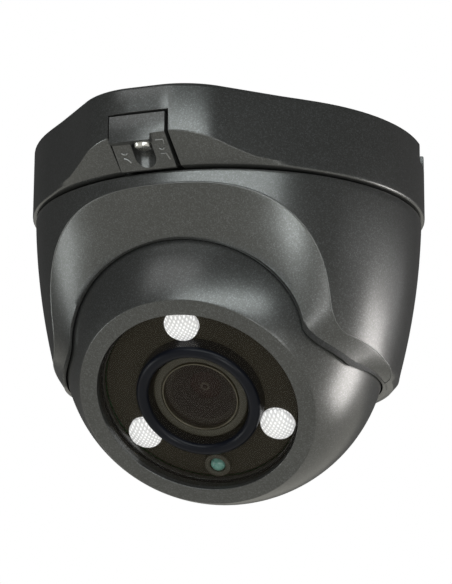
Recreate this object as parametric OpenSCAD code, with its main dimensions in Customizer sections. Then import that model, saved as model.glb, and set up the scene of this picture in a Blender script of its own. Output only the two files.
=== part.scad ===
// Turret dome camera for a ceiling: a lobed base, a panning cover and an eyeball
// that tilts and turns inside it, with its window, lamps, lens and boards.
// Millimetres. Z = 0 is the ceiling face, the camera hangs towards -Z and looks to -Y.

/* [Base] */
// Radius of the round wall of the base
base_r = 65; // [64:0.5:67]
// Height of the base from the ceiling to its rim
base_h = 23; // [22.5:0.5:24]
// Distance from the axis to the flat front of the latch lobe
lobe_reach = 77.2; // [76.5:0.1:78]
// Corner radius of the latch lobe
lobe_corner_r = 24; // [22:1:25]
// Thickness of the base wall
base_wall = 4; // [3.8:0.1:4.2]
// Height at which the vertical wall of the lobe turns into its chamfer
chamfer_top = -15.4; // [-16:0.1:-15]
// Radius of the ceiling screw circle
ceiling_screw_r = 44; // [38:1:48]
// Radius of each ceiling screw hole
ceiling_hole_r = 2.4; // [2.2:0.1:2.6]
// Radius of the cable hole in the grommet
cable_r = 3.4; // [3:0.1:3.8]
// Direction of the side cable notch, degrees from the front
notch_az = 100; // [95:1:110]
// Width of the side cable notch
notch_w = 14; // [10:1:15]
// Depth of the side cable notch below the ceiling
notch_h = 6.4; // [5:0.2:7]

/* [Cover] */
// Outer radius of the cover at its top edge
cover_r = 63.9; // [63.5:0.1:64.2]
// Gap between the base rim and the cover
cover_gap = 0.6; // [0.5:0.1:0.8]
// Radius of the long curve that draws the side of the cover inwards
cover_bow_r = 222; // [215:1:230]
// Height of the cover's lower rim
cover_rim_z = -79.3; // [-80:0.1:-79]
// Outer radius of the neck that turns inside the base
neck_r = 57.2; // [57:0.1:57.2]

/* [Eyeball] */
// Radius of the ball
ball_r = 53; // [52.8:0.1:53]
// Height of the ball's centre
ball_z = -64; // [-64.2:0.1:-63.8]
// Distance of the ball's centre in front of the pan axis
ball_y = -2.7; // [-2.8:0.1:-2.6]
// Tilt of the optical axis below the horizontal at rest
tilt = 45; // [44:1:46]
// Distance from the ball's centre to its flat front face
face_z = 36.6; // [36.4:0.1:36.8]
// Radius of the window opening
window_r = 32.8; // [32.6:0.1:33]
// Thickness of the windows
window_t = 2.2; // [2:0.1:2.4]
// Thickness of the ball's casting
ball_wall = 3.2; // [3:0.1:3.4]

/* [Lamps and lens] */
// Radius of the circle the lamps sit on
lamp_ring_r = 25.9; // [25.5:0.1:26.2]
// Radius of one lamp lens
lamp_r = 5.5; // [5:0.1:5.7]
// Outer radius of the rubber light shield
shield_r = 20.3; // [20:0.1:20.5]
// Inner radius of the rubber light shield
shield_in_r = 16.3; // [16:0.1:16.5]
// Radius of the lens body
lens_r = 13.6; // [13:0.1:14]

/* [Hidden] */
$fn = 96;
e = 0.01;
base_in_r = base_r - base_wall;
lobe_x = 5;
lobe_y = lobe_reach - lobe_corner_r;
plate_t = 3;
cover_top = -base_h - cover_gap;
ledge_top = -14.6;
ledge_bottom = -17.6;
ledge_r = neck_r + 0.3;
neck_top = -14;
neck_in_r = 53.5;
cavity_r = ball_r + 0.4;
seat_r = ball_r + 0.35;
sill_r = window_r - 1;
bracket_r = 41.4;
window_front = face_z - 1.4;
window_back = window_front - window_t;
ball_in_r = ball_r - ball_wall;
seam_z = -6;
rear_flat = -44.5;
hub_r = 19.8;
hub_end = -48.6;
board_z = 22.4;
board_t = 1.6;
lamp_base = board_z + board_t;
lamp_angles = [0, 120, 240];
latch_left = -11.5;
latch_step = 1.9;
latch_right = 6.7;
latch_top = -8.9;
screw_x = -2.1;
screw_y = -71.6;
clamp_top = -33.2;
clamp_bottom = -38.2;
strap_in_r = 54.2;
strap_out_r = 55.8;
ear_az = [75, 180, 285];
paint = [0.30, 0.31, 0.31];
dark = [0.09, 0.09, 0.10];
steel = [0.75, 0.75, 0.76];
black = [0.05, 0.05, 0.06];

// Places children in the eyeball's frame: +Z along the optical axis, +Y up the face.
module in_ball() { translate([0, ball_y, ball_z]) rotate([90 + tilt, 0, 0]) children(); }
module tube(r_out, r_in, z0, z1) {
  translate([0, 0, z0]) difference() {
    cylinder(r = r_out, h = z1 - z0);
    translate([0, 0, -e]) cylinder(r = r_in, h = z1 - z0 + 2 * e);
  }
}
module disc(r, z0, z1) { translate([0, 0, z0]) cylinder(r = r, h = z1 - z0); }
// Turns children to an azimuth measured from the front, -Y, towards +X.
module at_az(a, r = 0) { rotate([0, 0, a]) translate([0, -r, 0]) children(); }
module block(x0, x1, y0, y1, z0, z1) { translate([x0, y0, z0]) cube([x1 - x0, y1 - y0, z1 - z0]); }

// ---- Base ----

// Point on a circle of radius r at centre c, in the direction a from the front.
function rim_point(c, r, a) = [c[0] + r * sin(a), c[1] - r * cos(a)];
// Angle of the common tangent's normal between the wall circle and a lobe corner.
function flank_angle() =
  let (d = norm([lobe_x, lobe_y])) atan2(lobe_x, lobe_y) + acos((base_r - lobe_corner_r) / d);
module base_outline(inset = 0) {
  a = flank_angle();
  corner = [for (k = [0:8]) rim_point([lobe_x, -lobe_y], lobe_corner_r - inset, k * a / 8)];
  wall = [for (k = [0:44]) rim_point([0, 0], base_r - inset, a + k * (180 - a) / 45)];
  half = concat(corner, wall);
  polygon(concat(half, [rim_point([0, 0], base_r - inset, 180)],
    [for (k = [len(half) - 1:-1:0]) [-half[k][0], half[k][1]]]));
}
module base_housing() {
  color(paint) difference() {
    intersection() {
      translate([0, 0, -base_h]) linear_extrude(base_h) base_outline();
      union() {
        translate([0, 0, -base_h]) cylinder(r1 = base_r + 1, r2 = lobe_reach + 0.3, h = base_h + chamfer_top);
        translate([0, 0, chamfer_top]) cylinder(r = lobe_reach + 0.3, h = -chamfer_top);
      }
    }
    disc(base_in_r, ledge_top, -plate_t);
    disc(ledge_r, ledge_bottom - e, ledge_top + e);
    disc(base_in_r, -base_h - e, ledge_bottom);
    lobe_pocket();
    latch_pocket();
    // groove for the ceiling gasket
    tube(63.7, 62.3, -1, e);
    // cable hole with its recess for the grommet's flange
    disc(9, -plate_t - e, e);
    disc(11, -1.1, e);
    for (k = [0:2]) at_az(120 * k + 60, ceiling_screw_r) disc(ceiling_hole_r, -plate_t - e, e);
    side_notch();
  }
}
module lobe_pocket() {
  difference() {
    translate([0, 0, -12]) linear_extrude(12 + e) base_outline(inset = 3.6);
    disc(base_r - 0.4, -13, 1);
    block(-14.5, 14.5, -80, -50, -13, 1);
  }
}
module latch_pocket() {
  block(latch_left - 0.6, latch_right + 1.4, -lobe_reach - 2, -60.2, -base_h - e, latch_top + 0.6);
  // threaded seat for the lock screw
  translate([screw_x, screw_y, 0]) disc(1.6, -9, -4.4);
}
module side_notch() {
  at_az(notch_az) translate([0, -base_r - 1, 0]) rotate([-90, 0, 0])
    linear_extrude(base_wall + 3.5) notch_outline();
}
module notch_outline() {
  half = [for (a = [0:15:90]) [notch_w / 2 - 2 + 2 * cos(a), notch_h - 2 + 2 * sin(a)]];
  polygon(concat([[-notch_w / 2, -1], [notch_w / 2, -1]], half, [for (p = rev(half)) [-p[0], p[1]]]));
}
// The gasket stops short of the side notch on each side.
module ceiling_gasket() {
  color(black) difference() {
    tube(63.6, 62.4, -0.95, -0.05);
    at_az(notch_az) block(-notch_w / 2 - 1, notch_w / 2 + 1, -70, -55, -2, 1);
  }
}
module cable_grommet() {
  color(black) difference() {
    union() {
      disc(10.8, -1.05, -0.1);
      disc(8.9, -plate_t - 0.1, -0.9);
      disc(10.8, -4.3, -plate_t - 0.05);
    }
    disc(cable_r, -5, 1);
  }
}
module pan_washer() { color([0.85, 0.85, 0.8]) tube(60.6, 57.7, ledge_top + 0.02, ledge_top + 0.45); }

// ---- Latch ----

// Side profile of the latch, from the hood's front down the slope to its foot.
module latch_side(hood_z, half_from, half_to) {
  front = lobe_reach - 0.6;
  translate([half_from, 0, 0]) rotate([90, 0, 90]) linear_extrude(half_to - half_from)
    polygon([[-62, latch_top], [-front, latch_top], [-front, hood_z],
      [-75.7 - (hood_z + 16) * 1.33, hood_z], [-65.8, -23.4], [-64.7, -23.4],
      [-64.7, -21.9], [-62, -21.9]]);
}
module lock_latch() {
  color(paint) difference() {
    union() {
      latch_side(-17.4, latch_left, latch_step);
      latch_side(-15.35, latch_step - e, latch_right);
      block(-8, 4, -62.1, -58.6, -21.8, -20.3);
    }
    // counterbore that opens through the slope
    translate([screw_x, screw_y, 0]) disc(3.4, -24, -16.4);
    translate([screw_x, screw_y + 1.9, 0]) disc(3.4, -24, -17.4 - e);
    block(screw_x - 3.4, screw_x + 3.4, -78, screw_y + 1.9, -24, -17.4 - e);
    translate([screw_x, screw_y, 0]) disc(1.7, -18, -8);
  }
}
module lock_screw() {
  color(steel) translate([screw_x, screw_y, 0]) difference() {
    union() {
      disc(1.5, -16.5, -5.2);
      disc(3, -17.6, -16.45);
      translate([0, 0, -18.7]) cylinder(r1 = 2, r2 = 3, h = 1.1 + e);
    }
    translate([0, 0, -18.8]) cylinder(r = 1.3, h = 1.6, $fn = 6);
  }
}

// ---- Cover ----

// Outer radius of the cover at height z.
function bell_r(z) = cover_r - max(0, pow(z + 16, 2) - pow(cover_top + 16, 2)) / (2 * cover_bow_r);
rim_round = 4.2;
function bell_side() = [for (k = [0:12]) let (z = cover_top - 0.5 - k * (50.6 / 12)) [bell_r(z), z]];
function rim_arc() = [for (a = [10:10:90])
  let (z = cover_rim_z + rim_round) [bell_r(z) - rim_round * (1 - cos(a)), z - rim_round * sin(a)]];
module bell_body() {
  rotate_extrude($fn = 180)
    polygon(concat([[0, cover_top], [cover_r - 0.4, cover_top]], bell_side(), rim_arc(), [[0, cover_rim_z]]));
}

// Outer edge of the brow, drawn on the bell and given for an angle from its crown.
function brow_out(t) =
  let (c = pow(abs(cos(t)), 2 / 3), s = pow(abs(sin(t)), 2 / 3), z = -69 + 41.2 * c)
  on_bell(s * (53.2 + 0.225 * (-43 - z)) / 1.1, z);
// Inner edge of the brow, drawn on the ball.
function brow_in(t) = on_ball(47.5 * sin(0.9 * t), -15.4 + 39.2 * cos(0.9 * t));
// Lower edges of the cheeks, from the corner of the brow round to the back.
function cheek_out(w) = on_bell(57 + 48 * w, -70.8 - 4 * w - 8 * w * w);
function cheek_in(w) = on_ball(50 + 52 * w, -11.2 - 15 * w);
function on_bell(az, z) = [bell_r(z) * sin(az), -bell_r(z) * cos(az), z];
function on_ball(az, el) = [0, ball_y, ball_z] +
  (cavity_r + 0.2) * [sin(az) * cos(el), -cos(az) * cos(el), sin(el)];
function flip(p) = [-p[0], p[1], p[2]];
function rev(v) = [for (k = [len(v) - 1:-1:0]) v[k]];
// Cuts the corners of a path once.
function soften(v) = concat([v[0]], [for (k = [0:len(v) - 2], f = [0.25, 0.75]) v[k] * (1 - f) + v[k + 1] * f],
  [v[len(v) - 1]]);
half_out = concat([for (k = [0:15]) brow_out(k * 6)], [for (k = [0:8]) cheek_out(k / 8)]);
half_in = concat([for (k = [0:15]) brow_in(k * 6)], [for (k = [0:8]) cheek_in(k / 8)]);
function both(h) = concat([for (k = [len(h) - 1:-1:1]) flip(h[k])], h);
brow_outer = soften(both(half_out));
brow_inner = soften(both(half_in));
// The space in front of the brow, removed from the bell.
module brow_cut() {
  n = len(brow_outer);
  far = [0, -90, -90];
  inner = [for (k = [0:n - 1]) let (d = brow_inner[k] - brow_outer[k]) brow_inner[k] + d * (4 / norm(d))];
  outer = [for (k = [0:n - 1]) let (d = brow_outer[k] - brow_inner[k]) brow_outer[k] + d * (8 / norm(d))];
  front = [for (p = outer) p + far];
  points = concat([[0, ball_y, ball_z]], inner, outer, front, [[0, ball_y, ball_z] + far * 1.2]);
  last = len(points) - 1;
  faces = [for (k = [0:n - 1]) let (j = (k + 1) % n) each [
    [0, 1 + j, 1 + k],
    [1 + k, 1 + j, 1 + n + j], [1 + k, 1 + n + j, 1 + n + k],
    [1 + n + k, 1 + n + j, 1 + 2 * n + j], [1 + n + k, 1 + 2 * n + j, 1 + 2 * n + k],
    [1 + 2 * n + k, 1 + 2 * n + j, last]]];
  polyhedron(points, faces);
}
module cover_hollow() {
  disc(neck_in_r, -27.2, neck_top + 1);
  disc(52.5, -38.4, -27);
  difference() {
    rotate_extrude($fn = 180)
      polygon([[0, -27.2], [59.3, -27.2], [58.2, -44], [56.2, -60], [0, -60]]);
    block(-70, 70, -70, -22, -70, -20);
  }
}
module clamp_bosses() {
  translate([0, ball_y, 0]) for (a = ear_az) at_az(a) {
    translate([0, -52.5, -52]) cylinder(r = 3.6, h = clamp_bottom + 52, $fn = 48);
    block(-3.6, 3.6, -64, -52.5, -52, clamp_bottom);
  }
}
module cover_shell() {
  color(paint) difference() {
    union() {
      difference() {
        bell_body();
        cover_hollow();
      }
      tube(neck_r, neck_in_r, cover_top - 1, neck_top);
      tube(59.8, neck_r - 1, -20, -18.4);
      intersection() {
        clamp_bosses();
        bell_body();
      }
    }
    translate([0, ball_y, ball_z]) sphere(r = cavity_r, $fn = 128);
    brow_cut();
    for (k = [0:3]) at_az(45 + 90 * k, 55.3) disc(0.85, -20, neck_top + 1);
    translate([0, ball_y, 0]) for (a = ear_az) at_az(a, 52.5) disc(1.2, -48, -30);
  }
}
module pan_ring() {
  color(steel) difference() {
    tube(60.4, 51.5, neck_top + 0.02, -11.5);
    for (k = [0:3]) at_az(45 + 90 * k, 55.3) disc(1.15, -15, -11);
  }
}
module button_screw(r_head, h_head, r_shank, length) {
  // Head above Z = 0, shank below.
  difference() {
    union() {
      disc(r_head, 0, h_head * 0.5);
      translate([0, 0, h_head * 0.5 - e]) cylinder(r1 = r_head, r2 = r_head * 0.62, h = h_head * 0.5);
      disc(r_shank, -length, e);
    }
    translate([0, 0, h_head * 0.35]) cylinder(r = r_head * 0.42, h = h_head, $fn = 6);
  }
}
module pan_ring_screws() {
  color(steel) for (k = [0:3]) at_az(45 + 90 * k, 55.3) translate([0, 0, -11.48]) button_screw(2, 1.5, 0.8, 7);
}
module at_strap_screws() { for (x = [-5.4, 5.4], y = [-47.2, 47.2]) translate([x, y, 0]) children(); }
module ball_clamp_ring() {
  color(dark) translate([0, ball_y, 0]) difference() {
    union() {
      disc(49.3, clamp_bottom, clamp_top);
      for (a = ear_az) at_az(a) {
        translate([0, -52.5, clamp_bottom]) cylinder(r = 3.4, h = 5, $fn = 48);
        block(-3.4, 3.4, -52.5, -47, clamp_bottom, clamp_top);
      }
    }
    translate([0, 0, ball_z]) sphere(r = seat_r, $fn = 128);
    for (a = ear_az) at_az(a, 52.5) disc(1.3, -40, -30);
    at_strap_screws() disc(0.9, -36.5, clamp_top + 1);
  }
}
module clamp_screws() {
  color(steel) translate([0, ball_y, 0]) for (a = ear_az) at_az(a, 52.5)
    translate([0, 0, clamp_top + 0.02]) button_screw(2.6, 1.9, 1.1, 12);
}
// A slotted strap that bridges the ball and guides the stop ring's pin.
module guide_strap() {
  color(steel) translate([0, ball_y, 0]) difference() {
    union() {
      intersection() {
        translate([-4, 0, ball_z]) rotate([90, 0, 90]) difference() {
          cylinder(r = strap_out_r, h = 8, $fn = 180);
          translate([0, 0, -1]) cylinder(r = strap_in_r, h = 10, $fn = 180);
        }
        block(-5, 5, -60, 60, clamp_top + 0.02, 0);
      }
      for (s = [-1, 1]) intersection() {
        block(-7, 7, -49.2, 49.2, clamp_top + 0.02, clamp_top + 1.8);
        translate([-7, s * 47.4 - 3, -40]) cube([14, 6, 20]);
        translate([-8, 0, ball_z]) rotate([90, 0, 90]) difference() {
          cylinder(r = 70, h = 16);
          translate([0, 0, -1]) cylinder(r = strap_in_r, h = 20, $fn = 180);
        }
      }
    }
    translate([0, 0, ball_z]) slot_wedge(37, 117.5);
    at_strap_screws() disc(0.9, -40, -20);
  }
}
module slot_wedge(from, to) {
  translate([-1.9, 0, 0]) rotate([90, 0, 90]) linear_extrude(3.8)
    polygon(concat([[0, 0]], [for (a = [from:(to - from) / 8:to + 0.1]) 64 * [cos(a), sin(a)]]));
}
module strap_screws() {
  color(steel) translate([0, ball_y, 0]) at_strap_screws()
    translate([0, 0, clamp_top + 1.82]) button_screw(1.5, 1, 0.8, 4.5);
}

// ---- Eyeball ----

module rotation_stop_ring() {
  color(dark) in_ball() {
    tube(25.6, hub_r + 0.3, -46.2, -44.7);
    translate([0, 22.8, 0]) disc(1.5, -51, -46.2 + e);
  }
}
module ball_half(z0, z1) {
  intersection() {
    sphere(r = ball_r, $fn = 128);
    disc(60, z0, z1);
  }
}
module ball_inside(z0, z1) {
  intersection() {
    sphere(r = ball_in_r, $fn = 128);
    disc(60, z0, z1);
  }
}
function spaced(n, first) = [for (k = [0:n - 1]) first + 360 / n * k];
module around(n, first, r) { for (a = spaced(n, first)) rotate([0, 0, a]) translate([0, r, 0]) children(); }
module front_housing() {
  color(paint) in_ball() difference() {
    union() {
      difference() {
        ball_half(seam_z, face_z);
        ball_inside(seam_z - 1, 30.6);
      }
      intersection() {
        union() {
          tube(ball_in_r + 1, 46, seam_z, -2);
          around(3, 60, 43) disc(3.3, seam_z, 14);
          around(3, 0, 36) disc(3, lamp_base, 31);
          around(3, 30, bracket_r) {
            disc(3, -2, 10);
            block(-3, 3, 0, 9, -2, 10);
          }
        }
        sphere(r = ball_r - 0.5, $fn = 128);
      }
    }
    disc(sill_r, 25, 34);
    disc(window_r, window_back - 0.6, face_z + 1);
    around(3, 60, 43) disc(1.1, seam_z - 1, 8);
    around(3, 0, 36) disc(0.9, lamp_base - 1, 30);
    around(3, 30, bracket_r) disc(0.9, -3, 7);
  }
}
module rear_housing() {
  color(paint) in_ball() difference() {
    union() {
      difference() {
        ball_half(rear_flat, seam_z);
        ball_inside(rear_flat + 3, seam_z + 1);
      }
      disc(hub_r, hub_end, rear_flat + 1);
      intersection() {
        union() {
          tube(ball_in_r + 1, 46, seam_z - 4, seam_z);
          around(3, 60, 43) disc(5, -40, seam_z);
        }
        sphere(r = ball_r - 0.5, $fn = 128);
      }
    }
    tube(51, 49.2, seam_z - 1.3, seam_z + e);
    around(3, 60, 43) disc(3.4, -60, -14);
    around(3, 60, 43) disc(1.5, -15, seam_z + 1);
    disc(6.2, hub_end - 1, rear_flat + 4);
    tube(hub_r + 1, hub_r - 0.9, -47.4, -46.3);
  }
}
module housing_oring() {
  color(black) in_ball() translate([0, 0, seam_z - 0.65]) rotate_extrude($fn = 128)
    translate([50.1, 0]) circle(r = 0.6, $fn = 24);
}
module housing_screws() {
  color(steel) in_ball() around(3, 60, 43) translate([0, 0, -14.05]) rotate([180, 0, 0])
    button_screw(2.9, 2.2, 1, 18);
}
module neck_circlip() {
  color(steel) in_ball() difference() {
    tube(21, hub_r - 0.85, -47.35, -46.4);
    block(-2.5, 2.5, -23, 0, -48, -46);
  }
}
module cable_gland() {
  color(black) in_ball() difference() {
    union() {
      disc(6.15, hub_end - 0.1, -40.5);
      disc(8, -51.8, hub_end - 0.05);
      disc(8, -41.45, -40);
    }
    disc(2.6, -53, -39);
  }
}
module lamp_window() { color([0.35, 0.3, 0.22, 0.5]) in_ball() tube(window_r - 0.1, shield_r + 0.1, window_back, window_front); }
module lens_window() { color([0.35, 0.3, 0.22, 0.5]) in_ball() disc(shield_in_r - 0.1, window_back, window_front); }
module window_gasket() { color(black) in_ball() tube(window_r - 0.2, sill_r + 0.1, window_back - 0.55, window_back - 0.03); }
module light_shield() {
  mid = (shield_r + shield_in_r) / 2;
  half = (shield_r - shield_in_r) / 2;
  color(black) in_ball() rotate_extrude($fn = 128) union() {
    translate([mid, face_z - 0.2 - half]) circle(r = half, $fn = 48);
    translate([mid - half, lamp_base + 0.05]) square([2 * half, face_z - 0.2 - half - lamp_base - 0.05]);
  }
}
module at_lamps() { for (a = lamp_angles) rotate([0, 0, -a]) translate([0, lamp_ring_r, 0]) children(); }
module at_sensor() { translate([-1.2, -lamp_ring_r - 1, 0]) children(); }
module inner_bezel() {
  color(dark) in_ball() difference() {
    union() {
      tube(sill_r - 0.3, shield_r + 0.15, 29, 30.3);
      tube(sill_r - 0.3, 30.2, lamp_base + 0.02, 29.1);
    }
    at_lamps() disc(lamp_r + 0.25, 20, 32);
    at_sensor() disc(4.4, 20, 32);
  }
}
module lamp_board() {
  color([0.1, 0.25, 0.15]) in_ball() difference() {
    tube(39.5, 16.4, board_z, board_z + board_t);
    around(3, 0, 36) disc(1.1, 20, 30);
  }
}
module lamp_board_screws() {
  color(steel) in_ball() around(3, 0, 36) translate([0, 0, board_z - 0.02]) rotate([180, 0, 0])
    button_screw(1.8, 1.3, 0.8, 6);
}
module lamp_emitters() {
  color([0.9, 0.85, 0.4]) in_ball() at_lamps() {
    block(-1.75, 1.75, -1.75, 1.75, lamp_base + 0.01, lamp_base + 0.8);
    disc(1.3, lamp_base + 0.7, lamp_base + 1.4);
  }
}
module lamp_holders() { color(dark) in_ball() at_lamps() tube(lamp_r + 0.05, 4.6, lamp_base + 0.02, 27); }
module lamp_lenses() {
  color([0.9, 0.92, 0.95]) in_ball() at_lamps() {
    disc(lamp_r, 27.02, 31.6);
    intersection() {
      translate([0, 0, 19.2]) sphere(r = 13.5, $fn = 96);
      disc(lamp_r, 31.5, 34);
    }
    disc(2.6, 25.6, 27.1);
  }
}
module light_sensor() {
  color([0.4, 0.6, 0.55]) in_ball() at_sensor() {
    disc(2.5, lamp_base + 0.02, 29.4);
    translate([0, 0, 29.3]) intersection() {
      sphere(r = 2.5, $fn = 48);
      disc(3, 0, 3);
    }
  }
}
module sensor_sleeve() { color(dark) in_ball() at_sensor() tube(4.25, 2.65, lamp_base + 0.02, 31.6); }

// ---- Lens ----

module lens_body() {
  color(dark) in_ball() difference() {
    union() {
      disc(9, -3.4, 2);
      disc(lens_r, 1.6, 24);
      disc(15.4, 24 - e, 31.6);
      disc(12.6, 31.5, 32.5);
    }
    translate([0, 0, 27]) cylinder(r1 = 10.2, r2 = 11.9, h = 5.6);
    disc(10.2, 14, 27.1);
    disc(7.4, -4, 14.1);
  }
}
module front_element() {
  color([0.3, 0.35, 0.45, 0.6]) in_ball() intersection() {
    translate([0, 0, 8.5]) sphere(r = 22.5, $fn = 96);
    disc(10.15, 26.2, 32);
  }
}
module rear_elements() {
  color([0.3, 0.35, 0.45, 0.6]) in_ball() {
    intersection() {
      translate([0, 0, 2]) sphere(r = 20, $fn = 96);
      disc(10.1, 16, 22);
    }
    disc(7.3, 4, 7);
    disc(7.3, -2.5, 0.5);
  }
}
module iris_ring() { color(dark) in_ball() tube(7.3, 3.2, 9.5, 10.3); }
module grip_ring(z0, z1) {
  difference() {
    tube(16, lens_r + 0.05, z0, z1);
    for (k = [0:23]) rotate([0, 0, 15 * k]) translate([16.5, 0, 0]) disc(0.9, z0 - 1, z1 + 1);
    translate([0, 0, (z0 + z1) / 2]) rotate([0, 90, 0]) cylinder(r = 1.25, h = 20, $fn = 32);
  }
}
module ring_lock_screw(z) {
  translate([0, 0, z]) rotate([0, 90, 0]) {
    translate([0, 0, lens_r + 0.3]) cylinder(r = 1.15, h = 3, $fn = 32);
    translate([0, 0, 16.1]) cylinder(r = 2.3, h = 2.6, $fn = 48);
  }
}
module focus_ring() { color(dark) in_ball() rotate([0, 0, 200]) grip_ring(14, 20); }
module focus_lock_screw() { color(steel) in_ball() rotate([0, 0, 200]) ring_lock_screw(17); }
module zoom_ring() { color(dark) in_ball() rotate([0, 0, 340]) grip_ring(4, 10); }
module zoom_lock_screw() { color(steel) in_ball() rotate([0, 0, 340]) ring_lock_screw(7); }

// ---- Camera module ----

module camera_bracket() {
  color(steel) in_ball() difference() {
    union() {
      disc(22, -3.45, -2.02);
      for (a = spaced(3, 30)) rotate([0, 0, a]) block(-5, 5, 0, bracket_r, -3.45, -2.02);
      around(3, 30, bracket_r) disc(4.2, -3.45, -2.02);
    }
    disc(11.8, -4, -1);
    around(3, 30, bracket_r) disc(1.1, -4, -1);
  }
}
module bracket_screws() {
  color(steel) in_ball() around(3, 30, bracket_r) translate([0, 0, -3.47]) rotate([180, 0, 0]) button_screw(1.8, 1.4, 0.8, 7);
}
module lens_mount() {
  color(dark) in_ball() difference() {
    union() {
      block(-16, 16, -16, 16, -16, -3.5);
      disc(11.6, -3.6, 1.5);
    }
    block(-13.5, 13.5, -11.5, 11.5, -17, -6);
    disc(9.05, -7, 2);
    for (x = [-14.6, 14.6], y = [-14.6, 14.6]) translate([x, y, 0]) disc(0.8, -17, -8);
  }
}
module ir_filter_frame() {
  color(dark) in_ball() difference() {
    block(-13.3, 13.3, -10, 10, -12, -6.02);
    block(-12.4, 12.4, -5.4, 5.4, -10.4, -8.6);
    disc(4, -13, -5);
  }
}
module ir_filter() { color([0.5, 0.3, 0.35, 0.6]) in_ball() block(-5.2, 5.2, -5, 5, -10, -9); }
module sensor_board() {
  color([0.1, 0.25, 0.15]) in_ball() difference() {
    block(-19, 19, -19, 19, -17.7, -16.05);
    for (x = [-14.6, 14.6], y = [-14.6, 14.6]) translate([x, y, 0]) disc(1, -19, -15);
  }
}
module image_sensor() {
  color([0.2, 0.2, 0.22]) in_ball() {
    block(-4.6, 4.6, -4, 4, -16.03, -14.6);
  }
}
module board_standoffs() {
  color([0.8, 0.7, 0.35]) in_ball() for (x = [-16.8, 16.8], y = [-11, 11]) translate([x, y, 0]) disc(2, -26, -17.72);
}
module board_screws() {
  color(steel) in_ball() for (x = [-14.6, 14.6], y = [-14.6, 14.6]) translate([x, y, -17.72])
    rotate([180, 0, 0]) button_screw(1.5, 1.2, 0.75, 8);
}
module main_board() { color([0.1, 0.25, 0.15]) in_ball() disc(35, -27.6, -26.02); }
module main_processor() { color(black) in_ball() block(-8, 8, -8, 8, -29.2, -27.62); }
module board_connectors() {
  color([0.9, 0.88, 0.8]) in_ball() {
    for (x = [-18, 18]) block(x - 4, x + 4, 14, 19, -32, -27.62);
    block(-9, 9, -22, -17, -31, -27.62);
  }
}

base_housing();
ceiling_gasket();
cable_grommet();
pan_washer();
lock_latch();
lock_screw();
cover_shell();
pan_ring();
pan_ring_screws();
ball_clamp_ring();
clamp_screws();
guide_strap();
strap_screws();
rotation_stop_ring();
front_housing();
rear_housing();
housing_oring();
housing_screws();
neck_circlip();
cable_gland();
lamp_window();
lens_window();
window_gasket();
light_shield();
inner_bezel();
lamp_board();
lamp_board_screws();
lamp_emitters();
lamp_holders();
lamp_lenses();
light_sensor();
sensor_sleeve();
lens_body();
front_element();
rear_elements();
iris_ring();
camera_bracket();
bracket_screws();
lens_mount();
ir_filter_frame();
image_sensor();
sensor_board();
board_standoffs();
board_screws();
main_board();
main_processor();
board_connectors();
focus_ring();
focus_lock_screw();
zoom_ring();
zoom_lock_screw();
ir_filter();
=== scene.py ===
"""Looks of the turret dome camera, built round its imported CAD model.

Lengths of the part are millimetres in the row frame and become metres as each mesh is made.
The room and the lights are in metres.
"""

import math

import bmesh
import bpy
from mathutils import Matrix, Vector


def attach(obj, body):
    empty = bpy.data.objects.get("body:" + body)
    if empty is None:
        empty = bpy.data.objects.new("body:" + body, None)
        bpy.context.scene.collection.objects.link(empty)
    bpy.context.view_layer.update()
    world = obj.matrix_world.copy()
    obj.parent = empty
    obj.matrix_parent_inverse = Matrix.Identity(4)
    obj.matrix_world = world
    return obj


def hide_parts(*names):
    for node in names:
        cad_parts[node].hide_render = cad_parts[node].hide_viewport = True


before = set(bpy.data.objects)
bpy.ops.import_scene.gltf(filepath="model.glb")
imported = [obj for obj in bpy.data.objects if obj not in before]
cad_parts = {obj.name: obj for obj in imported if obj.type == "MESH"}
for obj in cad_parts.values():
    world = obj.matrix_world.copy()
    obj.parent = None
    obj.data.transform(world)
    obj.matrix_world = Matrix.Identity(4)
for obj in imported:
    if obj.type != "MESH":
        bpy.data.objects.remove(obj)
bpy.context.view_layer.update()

MM = 0.001
PER_METRE = 1000
BALL = Vector((0, -2.7, -64))
BALL_R = 53
CAVITY_R = 53.4
# Heights and radii in the ball's own frame, where +Z looks out through the window.
FACE_Z = 36.6
WINDOW_BACK = 33.0
WINDOW_FRONT = 35.2
ON_BOARD = 24.05
FACE_R = 38.33
WINDOW_R = 32.8
IN_BALL = Matrix.Translation(BALL) @ Matrix.Rotation(math.radians(135), 4, "X")
HERE = Matrix.Identity(4)


# ---- Mesh helpers ----

def finish_mesh(name, bm, body, sharp=38, place=HERE):
    """Turns a bmesh in millimetres into a shown object in metres that rides on a body."""
    bmesh.ops.remove_doubles(bm, verts=bm.verts, dist=1e-4)
    bmesh.ops.recalc_face_normals(bm, faces=bm.faces)
    if bm.calc_volume(signed=True) < 0:
        bmesh.ops.reverse_faces(bm, faces=bm.faces)
    bmesh.ops.transform(bm, matrix=Matrix.Scale(MM, 4) @ place, verts=bm.verts)
    limit = math.radians(sharp)
    for face in bm.faces:
        face.smooth = True
    for edge in bm.edges:
        edge.smooth = edge.calc_face_angle(0.0) < limit
    mesh = bpy.data.meshes.new(name)
    bm.to_mesh(mesh)
    bm.free()
    obj = bpy.data.objects.new(name, mesh)
    bpy.context.scene.collection.objects.link(obj)
    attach(obj, body)
    return obj


def from_lists(verts, faces):
    """A bmesh from corner points and faces that give their places in the list."""
    bm = bmesh.new()
    made = [bm.verts.new(v) for v in verts]
    for face in faces:
        corners = [made[i] for i in dict.fromkeys(face)]
        if len(corners) > 2:
            bm.faces.new(corners)
    bmesh.ops.remove_doubles(bm, verts=bm.verts, dist=1e-4)
    bmesh.ops.recalc_face_normals(bm, faces=bm.faces)
    return bm


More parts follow.
